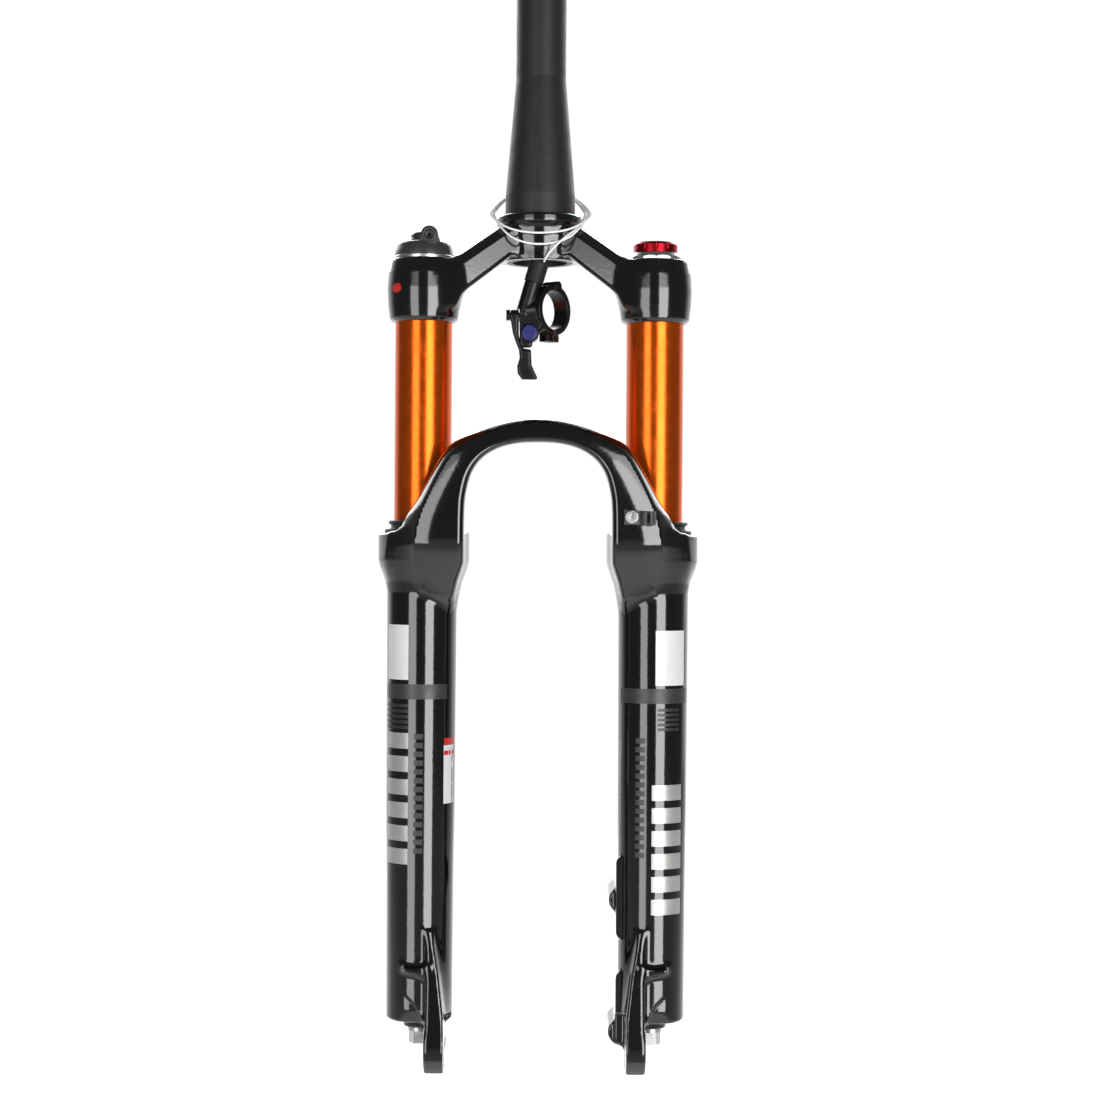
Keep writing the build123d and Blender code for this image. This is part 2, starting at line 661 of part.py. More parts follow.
def lever_pivot_screw():
    """Round-headed screw that the lever turns on."""
    screw = rod((-17, PIVOT_Y, PIVOT_Z), (-8, PIVOT_Y, PIVOT_Z), PIVOT_PIN_R)
    return screw + rod((-18.6, PIVOT_Y, PIVOT_Z), (-16.5, PIVOT_Y, PIVOT_Z), 3.1)


def release_button():
    """Round push button on the front of the perch."""
    return rod((BUTTON_X, -34.4, BUTTON_Z), (BUTTON_X, -28.8, BUTTON_Z), BUTTON_R - RUNNING)


def button_return_pad():
    """Rubber return pad behind the button."""
    return rod((BUTTON_X, -26.6, BUTTON_Z), (BUTTON_X, -26, BUTTON_Z), 3)


def cable_nipple():
    """Cast head on the wire, seated inside the barrel."""
    return rod(along_barrel(21), along_barrel(24), 1.35)


# ---- control wire ----------------------------------------------------------

def signed_power(value, power):
    return math.copysign(abs(value) ** power, value)


def loop_point(degrees):
    """A point of the loose winding, which is low in front and grows a little each turn."""
    angle = math.radians(degrees)
    across, forward = math.cos(angle), math.sin(angle)
    reach = LOOP_HALF_WIDTH + LOOP_GROWTH * degrees / 360
    spread = STRAND_SPREAD * max(0, -forward) ** 2 * (-1 if degrees < 450 else 1)
    x = reach * signed_power(across, LOOP_SQUARENESS)
    y = LOOP_CENTRE_Y + reach * signed_power(forward, LOOP_SQUARENESS)
    return (x, y, LOOP_MIDDLE_Z + LOOP_RISE * signed_power(forward, LOOP_DIP) + spread)


def wire_route():
    """Out of the boot, across the front strands, and twice round the steerer."""
    start = BOOT_TOP + Vector(2.4, 0, 0.35)
    lead = [
        start, (3.8, -28.2, -25.2), (6.8, -30.4, -21.9), (11, -31, -17.8), (15.9, -28.6, -13.4),
    ]
    step = (WIRE_TO - WIRE_FROM) / WIRE_STEPS
    turns = [loop_point(WIRE_FROM + step * n) for n in range(WIRE_STEPS + 1)]
    return [Vector(*point) for point in lead + turns]


def bend_radii(points):
    """The largest arc that each corner's two runs allow."""
    radii = []
    for before, at, after in zip(points, points[1:], points[2:]):
        short = min((at - before).length, (after - at).length)
        turn = math.radians((at - before).get_angle(after - at))
        radii.append(0.45 * short / math.tan(turn / 2))
    return radii


def control_wire():
    """The bare steel wire, as straight runs joined by arcs."""
    points = wire_route()
    radii = bend_radii(points)
    path = FilletPolyline(*points, radius=radii)
    wire = sweep(Plane(origin=path @ 0, z_dir=path % 0) * Circle(WIRE_R), path=path)
    ideal = math.pi * WIRE_R ** 2 * path.length
    print(f"wire: length {path.length:.1f}, volume {wire.volume:.1f} of {ideal:.1f}")
    print("wire radii:", " ".join(f"{radius:.1f}" for radius in radii))
    return wire


def wire_end_cap():
    """Crimped cap on the wire's free end."""
    end, last = wire_route()[-1], wire_route()[-2]
    way = (end - last).normalized()
    return rod(end, end + way * 5, 1.1)


NODES = {
    "steerer_tube": steerer_tube,
    "crown": crown,
    "damper_stanchion": lambda: stanchion(LEGS["damper"]),
    "air_stanchion": lambda: stanchion(LEGS["air"]),
    "damper_seal_head": lambda: seal_head(LEGS["damper"]),
    "air_seal_head": lambda: seal_head(LEGS["air"]),
    "seal_head_o_rings": lambda: both_legs(seal_head_o_ring),
    "retaining_rings": lambda: both_legs(retaining_ring),
    "damper_top_cap": damper_top_cap,
    "lockout_housing": lockout_housing,
    "compression_tube": compression_tube,
    "compression_valve": compression_valve,
    "compression_valve_o_ring": compression_valve_o_ring,
    "spool_spring": spool_spring,
    "air_top_cap": air_top_cap,
    "valve_body": valve_body,
    "valve_core": valve_core,
    "valve_pin": valve_pin,
    "air_valve_cap": air_valve_cap,
    "lockout_spool": lockout_spool,
    "spool_screw": spool_screw,
    "wire_pinch_screw": wire_pinch_screw,
    "compression_rod": compression_rod,
    "lower_casting": lower_casting,
    "wiper_seals": lambda: both_legs(wiper_seal),
    "foam_rings": lambda: both_legs(foam_ring),
    "upper_bushings": lambda: both_legs(lambda x: bushing(x, -217, -197)),
    "lower_bushings": lambda: both_legs(lambda x: bushing(x, -284, -264)),
    "damper_shaft": lambda: shaft(LEGS["damper"], 1.6),
    "rebound_piston": rebound_piston,
    "rebound_piston_ring": lambda: piston_ring(LEGS["damper"]),
    "rebound_adjuster": rebound_adjuster,
    "air_shaft": lambda: shaft(LEGS["air"]),
    "air_piston": lambda: piston_with_seat(LEGS["air"]),
    "air_piston_seal": lambda: piston_ring(LEGS["air"]),
    "top_out_bumpers": lambda: both_legs(top_out_bumper),
    "bottom_out_bumpers": lambda: both_legs(bottom_out_bumper),
    "crush_washers": lambda: both_legs(crush_washer),
    "foot_nuts": lambda: both_legs(foot_nut),
    "hose_guide": hose_guide,
    "hose_guide_bolt": hose_guide_bolt,
    "remote_body": remote_body,
    "remote_clamp_band": clamp_band,
    "remote_hinge_pin": clamp_hinge_pin,
    "remote_clamp_bolt": clamp_bolt,
    "remote_cable_boot": cable_boot,
    "remote_lever": remote_lever,
    "remote_pivot_screw": lever_pivot_screw,
    "release_button": release_button,
    "button_return_pad": button_return_pad,
    "cable_nipple": cable_nipple,
    "lockout_cable": control_wire,
    "cable_end_cap": wire_end_cap,
}


def main():
    os.makedirs("parts", exist_ok=True)
    for name, make in NODES.items():
        export_step(make(), f"parts/{name}.step")


main()
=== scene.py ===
import json
import math

import bpy
import numpy as np
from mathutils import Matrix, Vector


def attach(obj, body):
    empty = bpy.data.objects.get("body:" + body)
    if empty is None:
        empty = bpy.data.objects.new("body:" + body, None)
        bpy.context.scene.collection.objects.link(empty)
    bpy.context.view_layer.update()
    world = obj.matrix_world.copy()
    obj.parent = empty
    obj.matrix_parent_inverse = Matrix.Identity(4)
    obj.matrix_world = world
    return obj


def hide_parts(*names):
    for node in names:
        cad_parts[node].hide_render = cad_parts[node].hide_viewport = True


# Looks of a bicycle suspension fork: black crown and lowers, orange stanchions,
# and a remote lockout lever that hangs on its loose control wire.
# Outlines are in millimetres in the part's own frame; meshes are made in metres.

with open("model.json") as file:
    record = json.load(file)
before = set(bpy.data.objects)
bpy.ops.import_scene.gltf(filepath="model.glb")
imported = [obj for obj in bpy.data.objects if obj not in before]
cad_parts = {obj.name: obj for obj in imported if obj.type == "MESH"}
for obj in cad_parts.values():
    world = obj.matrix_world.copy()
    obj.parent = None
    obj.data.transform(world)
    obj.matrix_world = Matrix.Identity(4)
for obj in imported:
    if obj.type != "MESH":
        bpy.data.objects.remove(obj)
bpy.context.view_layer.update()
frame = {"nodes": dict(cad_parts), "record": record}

MM = 0.001
STANCHION_X, STANCHION_Y, STANCHION_R = 65, -22, 16


# ---- camera ------------------------------------------------------------------

camera = bpy.data.objects.new("camera", bpy.data.cameras.new("camera"))
bpy.context.scene.collection.objects.link(camera)
camera.location = (0, -1.272, -0.19)
camera.rotation_euler = (math.radians(90), math.radians(-0.4), 0)
camera.data.sensor_width = 36
camera.data.lens = 72.74
camera.data.shift_x = 0.011
camera.data.clip_end = 60
bpy.context.scene.camera = camera


# ---- control wire ------------------------------------------------------------

WIRE_R = 0.6
WIRE_FROM, WIRE_TO = -38, 808
WIRE_STEPS = 33
LOOP_HALF_WIDTH = 26.2
LOOP_GROWTH = 1.6
LOOP_CENTRE_Y = -2.6
LOOP_MIDDLE_Z = 2
LOOP_RISE = 18.5
STRAND_SPREAD = 3.2
LOOP_SQUARENESS = 0.74
LOOP_DIP = 1.5


def signed_power(value, power):
    """A power that keeps the sign of its value."""
    return math.copysign(abs(value) ** power, value)


def loop_point(degrees):
    """A point of the loose winding round the foot of the steerer."""
    angle = math.radians(degrees)
    across, forward = math.cos(angle), math.sin(angle)
    reach = LOOP_HALF_WIDTH + LOOP_GROWTH * degrees / 360
    spread = STRAND_SPREAD * max(0, -forward) ** 2 * (-1 if degrees < 450 else 1)
    x = reach * signed_power(across, LOOP_SQUARENESS)
    y = LOOP_CENTRE_Y + reach * signed_power(forward, LOOP_SQUARENESS)
    return (x, y, LOOP_MIDDLE_Z + LOOP_RISE * signed_power(forward, LOOP_DIP) + spread)


def wire_route():
    """Out of the boot, across the front strands, and twice round the steerer."""
    lead = [
        (2.2, -27, -28.65), (3.8, -28.2, -25.2), (6.8, -30.4, -21.9), (11, -31, -17.8), (15.9, -28.6, -13.4),
    ]
    step = (WIRE_TO - WIRE_FROM) / WIRE_STEPS
    turns = [loop_point(WIRE_FROM + step * n) for n in range(WIRE_STEPS + 1)]
    return [tuple(MM * value for value in point) for point in lead + turns]


def make_wire():
    """The bare steel wire as one smooth curve."""
    route = wire_route()
    curve = bpy.data.curves.new("control_wire", "CURVE")
    curve.dimensions = "3D"
    curve.resolution_u = 6
    curve.bevel_depth = WIRE_R * MM
    curve.bevel_resolution = 4
    curve.use_fill_caps = True
    spline = curve.splines.new("NURBS")
    spline.points.add(len(route) - 1)
    for point, place in zip(spline.points, route):
        point.co = (*place, 1)
    spline.order_u = 3
    spline.use_endpoint_u = True
    wire = bpy.data.objects.new("control_wire", curve)
    bpy.context.scene.collection.objects.link(wire)
    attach(wire, "crown_unit")
    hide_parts("lockout_cable")


make_wire()


# ---- materials ---------------------------------------------------------------

def new_material(name):
    """A material with its shader and a position socket in object space, in metres."""
    material = bpy.data.materials.new(name)
    material.use_nodes = True
    nodes, links = material.node_tree.nodes, material.node_tree.links
    shader = nodes["Principled BSDF"]
    place = nodes.new("ShaderNodeTexCoord").outputs["Object"]
    return material, nodes, links, shader, place


def stretched(nodes, links, place, scale):
    """The position socket scaled by different amounts along X, Y and Z."""
    mapping = nodes.new("ShaderNodeMapping")
    mapping.inputs["Scale"].default_value = scale
    links.new(place, mapping.inputs["Vector"])
    return mapping.outputs["Vector"]


def noise(nodes, links, place, scale, detail=3.0, roughness=0.55):
    """The value of a noise texture."""
    texture = nodes.new("ShaderNodeTexNoise")
    texture.inputs["Scale"].default_value = scale
    texture.inputs["Detail"].default_value = detail
    texture.inputs["Roughness"].default_value = roughness
    links.new(place, texture.inputs["Vector"])
    return texture.outputs["Fac"]


def ramp(nodes, links, value, low, high, low_at=0.3, high_at=0.7):
    """A colour ramp between two colours, or two greys given as numbers."""
    node = nodes.new("ShaderNodeValToRGB")
    ends = []
    for colour in (low, high):
        ends.append((*colour, 1) if isinstance(colour, tuple) else (colour, colour, colour, 1))
    for element, at, colour in zip(node.color_ramp.elements, (low_at, high_at), ends):
        element.position = at
        element.color = colour
    links.new(value, node.inputs["Fac"])
    return node.outputs["Color"]


def bump(nodes, links, shader, height, strength, distance, sockets=("Normal",), edge=0.0):
    """Fine relief, and edges that look rounded over a radius where one is given."""
    node = nodes.new("ShaderNodeBump")
    node.inputs["Strength"].default_value = strength
    node.inputs["Distance"].default_value = distance
    links.new(height, node.inputs["Height"])
    if edge:
        rounding = nodes.new("ShaderNodeBevel")
        rounding.samples = 6
        rounding.inputs["Radius"].default_value = edge
        links.new(rounding.outputs["Normal"], node.inputs["Normal"])
    for socket in sockets:
        links.new(node.outputs["Normal"], shader.inputs[socket])


def gloss_paint(name, dark, light, rough):
    """Sprayed gloss paint: faint orange peel, a little tone drift and a clear coat."""
    material, nodes, links, shader, place = new_material(name)
    drift = noise(nodes, links, place, 35, 4)
    links.new(ramp(nodes, links, drift, dark, light), shader.inputs["Base Color"])
    dust = noise(nodes, links, place, 900, 5, 0.7)
    links.new(ramp(nodes, links, dust, rough, rough + 0.09, 0.45, 0.8), shader.inputs["Roughness"])
    shader.inputs["Coat Weight"].default_value = 0.55
    shader.inputs["Coat Roughness"].default_value = 0.05
    peel = noise(nodes, links, place, 420, 2)
    bump(nodes, links, shader, peel, 0.05, 0.0004, ("Normal", "Coat Normal"))
    return material


def metal(name, dark, light, rough, grain=(260, 260, 260), strength=0.08, metallic=1.0, edge=0.0003):
    """Metal with a finishing grain: stretched noise in its tone, roughness and surface."""
    material, nodes, links, shader, place = new_material(name)
    lines = noise(nodes, links, stretched(nodes, links, place, grain), 10, 3)
    links.new(ramp(nodes, links, lines, dark, light), shader.inputs["Base Color"])
    patches = noise(nodes, links, place, 140, 4)
    links.new(ramp(nodes, links, patches, rough, rough + 0.1), shader.inputs["Roughness"])
    shader.inputs["Metallic"].default_value = metallic
    bump(nodes, links, shader, lines, strength, 0.0002, edge=edge)
    return material


def moulded(name, dark, light, rough, grain, strength, edge=0.0008, shine=0.5):
    """Moulded plastic or rubber with a fine texture."""
    material, nodes, links, shader, place = new_material(name)
    texture = noise(nodes, links, place, grain, 5, 0.6)
    links.new(ramp(nodes, links, texture, dark, light), shader.inputs["Base Color"])
    wear = noise(nodes, links, place, 120, 3)
    links.new(ramp(nodes, links, wear, rough, rough + 0.12), shader.inputs["Roughness"])
    shader.inputs["Specular IOR Level"].default_value = shine
    bump(nodes, links, shader, texture, strength, 0.0002, edge=edge)
    return material


MATERIALS = {
    "crown_gloss_black": gloss_paint("crown_paint", (0.0015, 0.0015, 0.0016), (0.003, 0.003, 0.0032), 0.12),
    "casting_gloss_black": gloss_paint(
        "casting_paint", (0.0012, 0.0012, 0.0013), (0.0026, 0.0026, 0.0028), 0.10),
    "steerer_black": metal(
        "steerer_anodising", (0.014, 0.014, 0.015), (0.026, 0.026, 0.028), 0.42, (20, 20, 700), 0.12, 0.35),
    "stanchion_orange": metal(
        "stanchion_anodising", (0.62, 0.088, 0.004), (0.70, 0.105, 0.006), 0.18,
        (30, 30, 900), 0.03, 0.85, 0.0),
    "dark_anodised": metal(
        "dark_anodising", (0.05, 0.05, 0.055), (0.09, 0.09, 0.095), 0.34, (400, 400, 60), 0.1),
    "silver_aluminium": metal(
        "turned_aluminium", (0.48, 0.48, 0.50), (0.68, 0.68, 0.70), 0.24, (60, 60, 900), 0.1),
    "red_anodised": metal(
        "red_anodising", (0.24, 0.006, 0.012), (0.34, 0.010, 0.020), 0.26, (60, 60, 900), 0.08),
    "bright_steel": metal("ground_steel", (0.50, 0.50, 0.51), (0.70, 0.70, 0.71), 0.18, (80, 80, 900), 0.06),
    "wire_steel": metal("wire_steel", (0.15, 0.15, 0.15), (0.30, 0.30, 0.29), 0.38, (700, 700, 700), 0.3),
    "valve_brass": metal("valve_brass", (0.45, 0.30, 0.12), (0.62, 0.44, 0.19), 0.28, (60, 60, 900), 0.08),
    "dark_housing": moulded(
        "housing_satin", (0.022, 0.022, 0.024), (0.036, 0.036, 0.039), 0.30, 1500, 0.06, 0.0015),
    "remote_black": moulded(
        "remote_moulding", (0.002, 0.002, 0.0022), (0.005, 0.005, 0.0054), 0.22, 1400, 0.10, 0.001, 0.3),
    "boot_grey": moulded(
        "boot_rubber", (0.006, 0.006, 0.0063), (0.012, 0.012, 0.0126), 0.5, 1800, 0.25, 0.0008, 0.3),
    "button_blue": moulded(
        "button_moulding", (0.008, 0.009, 0.09), (0.013, 0.015, 0.15), 0.26, 1200, 0.06, 0.0015),
    "seal_rubber": moulded("seal_rubber", (0.008, 0.008, 0.008), (0.016, 0.016, 0.017), 0.40, 1800, 0.15),
    "bush_plastic": moulded("bush_plastic", (0.12, 0.15, 0.12), (0.20, 0.24, 0.19), 0.45, 900, 0.15),
    "oil_foam": moulded("oil_foam", (0.10, 0.10, 0.10), (0.24, 0.24, 0.23), 0.85, 1100, 0.9),
    "guide_plastic": moulded("guide_plastic", (0.035, 0.035, 0.037), (0.06, 0.06, 0.063), 0.38, 1300, 0.12),
}


def paint(obj, slot):
    """Gives a piece the material for the record's slot."""
    obj.data.materials.clear()
    obj.data.materials.append(MATERIALS[slot])


for part in frame["record"]["subparts"]:
    paint(frame["nodes"][part["node"]], part["material_slot"])


# ---- smooth solids from distance fields ---------------------------------------
# A field gives the distance from points to a surface, negative inside. Points are
# three arrays x, y, z in millimetres. Joins and edges are blended over a radius.

def join(a, b, radius):
    """Union with a fillet."""
    share = np.clip(0.5 + 0.5 * (b - a) / radius, 0, 1)
    return b + (a - b) * share - radius * share * (1 - share)


def common(a, b, radius):
    """What two solids share, with a rounded edge."""
    return -join(-a, -b, radius)


def cut(a, b, radius):
    """a without b, with a rounded edge."""
    return common(a, -b, radius)


def outline(u, v, points):
    """Distance to a closed outline in a plane."""
    squared = np.full(u.shape, 1e12)
    inside = np.zeros(u.shape, bool)
    for (u0, v0), (u1, v1) in zip(points, points[1:] + points[:1]):
        du, dv = u1 - u0, v1 - v0
        along = np.clip(((u - u0) * du + (v - v0) * dv) / (du * du + dv * dv), 0, 1)
        squared = np.minimum(squared, (u - u0 - along * du) ** 2 + (v - v0 - along * dv) ** 2)
        if dv:
            inside ^= ((v0 <= v) != (v1 <= v)) & (u < u0 + du * (v - v0) / dv)
    return np.where(inside, -1, 1) * np.sqrt(squared)


def softened(points, times=2):
    """An open line with its corners cut, keeping both ends."""
    for _ in range(times):
        made = [points[0]]
        for (u0, v0), (u1, v1) in zip(points, points[1:]):
            made.append((0.75 * u0 + 0.25 * u1, 0.75 * v0 + 0.25 * v1))
            made.append((0.25 * u0 + 0.75 * u1, 0.25 * v0 + 0.75 * v1))
        points = made + [points[-1]]
    return points


def charted(points, step=0.5, margin=22):
    corners = np.array(points)
    start = corners.min(0) - margin
    u_axis, v_axis = (np.arange(a, b, step) for a, b in zip(start, corners.max(0) + margin))
    chart = outline(*np.meshgrid(u_axis, v_axis, indexing="ij"), points)

    def look_up(u, v):
        a = np.clip((u - start[0]) / step, 0, len(u_axis) - 1.01)
        b = np.clip((v - start[1]) / step, 0, len(v_axis) - 1.01)
        i, j = a.astype(int), b.astype(int)
        a, b = a - i, b - j
        low = chart[i, j] * (1 - a) + chart[i + 1, j] * a
        high = chart[i, j + 1] * (1 - a) + chart[i + 1, j + 1] * a
        return low * (1 - b) + high * b

    return look_up


def slab(value, low, high):
    """Distance to the space between two parallel planes."""
    return np.abs(value - (low + high) / 2) - (high - low) / 2


def turned(profile):
    """The chart of a solid turned about an upright axis, from its (radius, height) outline."""
    (_, first), (_, last) = profile[0], profile[-1]
    return charted([(-60, first)] + profile + [(-60, last)])


def round_bar(u, v, w, radius, low, high, edge):
    """A bar along w."""
    return common(np.hypot(u, v) - radius, slab(w, low, high), edge)


def surface_quads(inside, index):
    """Quads round every grid edge that crosses the surface."""
    quads = []
    for axis in range(3):
        along = [slice(None)] * 3
        along[axis] = slice(None, -1)
        first = inside[tuple(along)]
        along[axis] = slice(1, None)
        second = inside[tuple(along)]
        u, v = (axis + 1) % 3, (axis + 2) % 3
        places = np.argwhere(first != second)
        places = places[(places[:, u] > 0) & (places[:, v] > 0)]
        corners = []
        for back_u, back_v in ((0, 0), (1, 0), (1, 1), (0, 1)):
            cell = places.copy()
            cell[:, u] -= back_u
            cell[:, v] -= back_v
            corners.append(index[tuple(cell.T)])
        found = np.stack(corners, 1)
        outwards = first[tuple(places.T)]
        found[~outwards] = found[~outwards][:, ::-1]
        quads.append(found)
    return np.concatenate(quads)


def sampled(field, low, counts, step):
    """The field on a grid, worked out closely only near the surface."""
    block = 8
    counts = (np.ceil(np.array(counts) / block) * block).astype(int)
    middles = [low[n] + step * (np.arange(counts[n] // block) * block + block / 2 - 0.5) for n in range(3)]
    coarse = field(*np.meshgrid(*middles, indexing="ij"))
    values = coarse.repeat(block, 0).repeat(block, 1).repeat(block, 2)
    offsets = np.stack(np.meshgrid(*[np.arange(block)] * 3, indexing="ij"), -1).reshape(1, -1, 3)
    near = np.argwhere(np.abs(coarse) < block * step * 1.05 + 2)
    for start in range(0, len(near), 2000):
        places = (near[start:start + 2000, None] * block + offsets).reshape(-1, 3)
        x, y, z = (low[n] + step * places[:, n] for n in range(3))
        values[tuple(places.T)] = field(x, y, z)
    return values


def slope(field, points, delta):
    """Direction in which the field grows fastest, and its rate."""
    parts = []
    for axis in range(3):
        shift = np.zeros(3)
        shift[axis] = delta
        parts.append(field(*(points + shift).T) - field(*(points - shift).T))
    return np.stack(parts, 1) / (2 * delta)


def solid_from_field(name, field, low, high, step):
    """A smooth mesh of the field's zero surface inside a box."""
    low = np.array(low, float)
    values = sampled(field, low, np.ceil((np.array(high) - low) / step) + 1, step)
    inside = values < 0
    cells = np.zeros([n - 1 for n in inside.shape], np.int32)
    total = np.zeros((*cells.shape, 3), np.float32)
    crossings = np.zeros(cells.shape, np.float32)
    shape = np.array(cells.shape)
    corners = [np.array(c) for c in np.ndindex(2, 2, 2)]

    def corner_values(corner):
        return values[tuple(slice(c, c + n) for c, n in zip(corner, shape))]

    for corner in corners:
        cells += corner_values(corner) < 0
        for axis in range(3):
            if corner[axis]:
                continue
            end = corner.copy()
            end[axis] = 1
            a, b = corner_values(corner), corner_values(end)
            crossed = (a < 0) != (b < 0)
            share = np.where(crossed, a / np.where(crossed, a - b, 1), 0)
            crossings += crossed
            for n in range(3):
                total[..., n] += crossed * (corner[n] + (share if n == axis else 0))
    active = (cells > 0) & (cells < 8)
    index = np.full(cells.shape, -1)
    index[active] = np.arange(active.sum())
    points = low + step * (np.argwhere(active) + total[active] / crossings[active][:, None])
    start = points.copy()
    for _ in range(3):
        way = slope(field, points, 0.1)
        size = np.maximum((way ** 2).sum(1), 0.2)
        points = points - way * (field(*points.T) / size)[:, None]
    points = start + np.clip(points - start, -0.6 * step, 0.6 * step)
    quads = surface_quads(inside, index)
    mesh = bpy.data.meshes.new(name)
    mesh.from_pydata((points * MM).tolist(), [], quads.tolist())
    mesh.shade_smooth()
    mesh.update()
    normals = slope(field, points, 0.5)
    normals /= np.maximum(np.linalg.norm(normals, axis=1), 1e-6)[:, None]
    mesh.normals_split_custom_set_from_vertices(normals.tolist())
    obj = bpy.data.objects.new(name, mesh)
    bpy.context.scene.collection.objects.link(obj)
    return obj


# ---- crown ---------------------------------------------------------------------

STEERER_BORE_R = 18.6
CLAMP_TOP = -27.5
CAP_SEAT_R = 17.4
STANCHION_BORE_TOP = -24
ARM_FRONT_Y = -32
ARM_DRAFT = 0.14
ARM_BEVEL = 4
ARM_CORNER = (34, -28.2, -16.6)

hub_chart = turned([(23.9, 0), (24.7, -0.8), (24.7, -4.2), (22.8, -8), (21.9, -20), (21.9, -26)])
clamp_chart = turned([
    (18.0, CLAMP_TOP), (18.7, -28.3), (20.0, -35.5), (20.6, -44.5), (20.1, -53.5), (19.2, -60.8),
    (17.6, -62.8),
])
arm_front_chart = charted([
    (-10, -8), (22.5, -8), (47, -26.3), (52, -27.5), (58, -27.5),
    (58, -53), (47.5, -53), (43.5, -47.3), (16, -26), (-10, -26),
])
arm_plan_chart = charted([
    (-10, -12.3), (0, -15.9), (54, -35.5), (62, -36), (62, -8), (50, -8), (24, 17), (-10, 19),
])


def crown_field(x, y, z):
    """Hub, two arms that rise a little towards the back, and two clamps, with their bores."""
    x = np.abs(x)
    hub = hub_chart(np.hypot(x, y), z)
    rise = ARM_DRAFT * np.clip(y - ARM_FRONT_Y, 0, 50)
    side = common(arm_front_chart(x, z), arm_front_chart(x, z - rise), 1)
    arm = common(side, arm_plan_chart(x, y), 2.5)
    front, top = Vector((-19.6, -54, 0)).normalized(), Vector((18.3, 0, 24.5)).normalized()
    across = (front + top).normalized()
    at_x, at_y, at_z = ARM_CORNER
    bevel = (x - at_x) * across.x + (y - at_y) * across.y + (z - at_z) * across.z + ARM_BEVEL
    arm = common(arm, bevel, 0.8)
    bore = np.hypot(x - STANCHION_X, y - STANCHION_Y)
    body = join(join(hub, arm, 3), clamp_chart(bore, z), 6)
    body = cut(body, np.hypot(x, y) - STEERER_BORE_R, 0.8)
    body = cut(body, common(bore - CAP_SEAT_R, CLAMP_TOP - z, 0.4), 0.6)
    return cut(body, common(bore - STANCHION_R, z - STANCHION_BORE_TOP, 0.4), 0.6)


# ---- lower casting ---------------------------------------------------------------

leg_chart = turned([
    (24.1, -181.5), (24.7, -182.1), (24.7, -196), (23.6, -200), (20.6, -208), (19.6, -214), (18.8, -451.6),
    (17.9, -452.8), (13, -453.5), (9.2, -453.5), (8.8, -457.5),
])
ARCH_EDGE = softened([
    (-30, -116.7), (0, -116.7), (12, -117.5), (22.5, -119.9), (31, -122.6), (38, -125.6), (48, -131.2),
    (53, -136.9), (59.5, -148.2), (67, -163.6), (75, -173.5), (80, -182), (81, -192), (78, -204),
])
ARCH_SHAPE = ARCH_EDGE + softened([
    (73, -214), (66, -222), (50, -222), (46, -214), (43.5, -206), (41, -199), (40.6, -196), (40.6, -166),
    (39.2, -156), (36.5, -147), (31, -139.5), (22, -134), (11, -131.4), (0, -131), (-30, -131),
])
BEVEL_EDGE = softened([
    (-30, -116.7), (0, -116.7), (12, -117.5), (22.5, -119.9), (31, -122.6), (38, -125.6), (48, -131.2),
    (53, -136.9), (59.5, -148.2), (67, -163.6), (71, -175), (73, -190), (71, -205), (66, -222), (-30, -222),
])
arch_chart, bevel_chart = charted(ARCH_SHAPE), charted(BEVEL_EDGE)
dropout_chart = charted([
    (-30, -404), (-41, -402), (-47, -425), (-53, -447), (-56.5, -459), (-56.5, -470), (-50, -478),
    (-34, -478), (-26, -470), (-18, -450), (-18, -404),
])
blade_chart = charted([(57.5, -400), (60.4, -400), (60.4, -482), (50, -482), (50, -449), (53, -425)])
web_chart = charted([(58, -420), (66, -421.5), (73, -421), (73, -423.5), (66, -425), (58, -428)])
scoop_chart = charted([
    (59.6, -462), (60.5, -455), (63.6, -448.3), (66.8, -443), (71, -439), (75, -436.3), (79.7, -434.5),
    (92, -433), (92, -470), (59.6, -470),
])
AXLE_Y, AXLE_Z = -42, -465
AXLE_R = 4.6
DROPOUT_BOSS_R = 14.5
NUT_RECESS_R = 9
DROPOUT_FACE_X = 50
RECESS_FLOOR_X = 58.8
ARCH_FRONT_Y, ARCH_FOOT_Y = -58, -40
ARCH_FOOT_TOP, ARCH_FOOT_HEIGHT = -183, 38
POST_X, POST_R, POST_HOLE_R = 48.5, 7.5, 2.5
UPPER_POST_Z, LOWER_POST_Z = -386, -460
SEAL_SEAT_R, SEAL_SEAT_Z = 20.6, -195.4
LEG_BORE_R, LEG_FLOOR = 16.8, -445
FOOT_R, FOOT_Z = 7.4, -457.5
FOOT_BOLT_R = 4
HOSE_HOLE_X, HOSE_HOLE_Z = 51, -171.7
CASTING_LOW, CASTING_SIDE = -478.4, 89.6


def arch_field(x, y, z):
    """The brace over the tyre, with a broad shallow bevel inside its outer edge."""
    shape = arch_chart(x, z)
    edge = bevel_chart(x, z)
    share = np.clip((ARCH_FOOT_TOP - z) / ARCH_FOOT_HEIGHT, 0, 1)
    front = ARCH_FRONT_Y + (ARCH_FOOT_Y - ARCH_FRONT_Y) * share * share * (3 - 2 * share)
    front += np.clip(edge + 17, 0, 26) ** 2 / 90 + np.clip(edge + 4.5, 0, 13)
    back = np.minimum(y + 43.6, np.maximum(y + 22, z + 181.5))
    return common(common(shape, 0.75 * (front - y), 4), back, 1.5)


def dropout_field(x, y, z):
    """The axle blade, its boss, the gusset up the front of the leg and the small web beside it."""
    blade = common(dropout_chart(y, z), blade_chart(x, z), 2)
    boss = round_bar(y - AXLE_Y, z - AXLE_Z, x, DROPOUT_BOSS_R, DROPOUT_FACE_X, 60.4, 2)
    web = common(web_chart(x, z), slab(y, -45.5, -30), 1.2)
    return join(join(blade, boss, 3), web, 2.5)


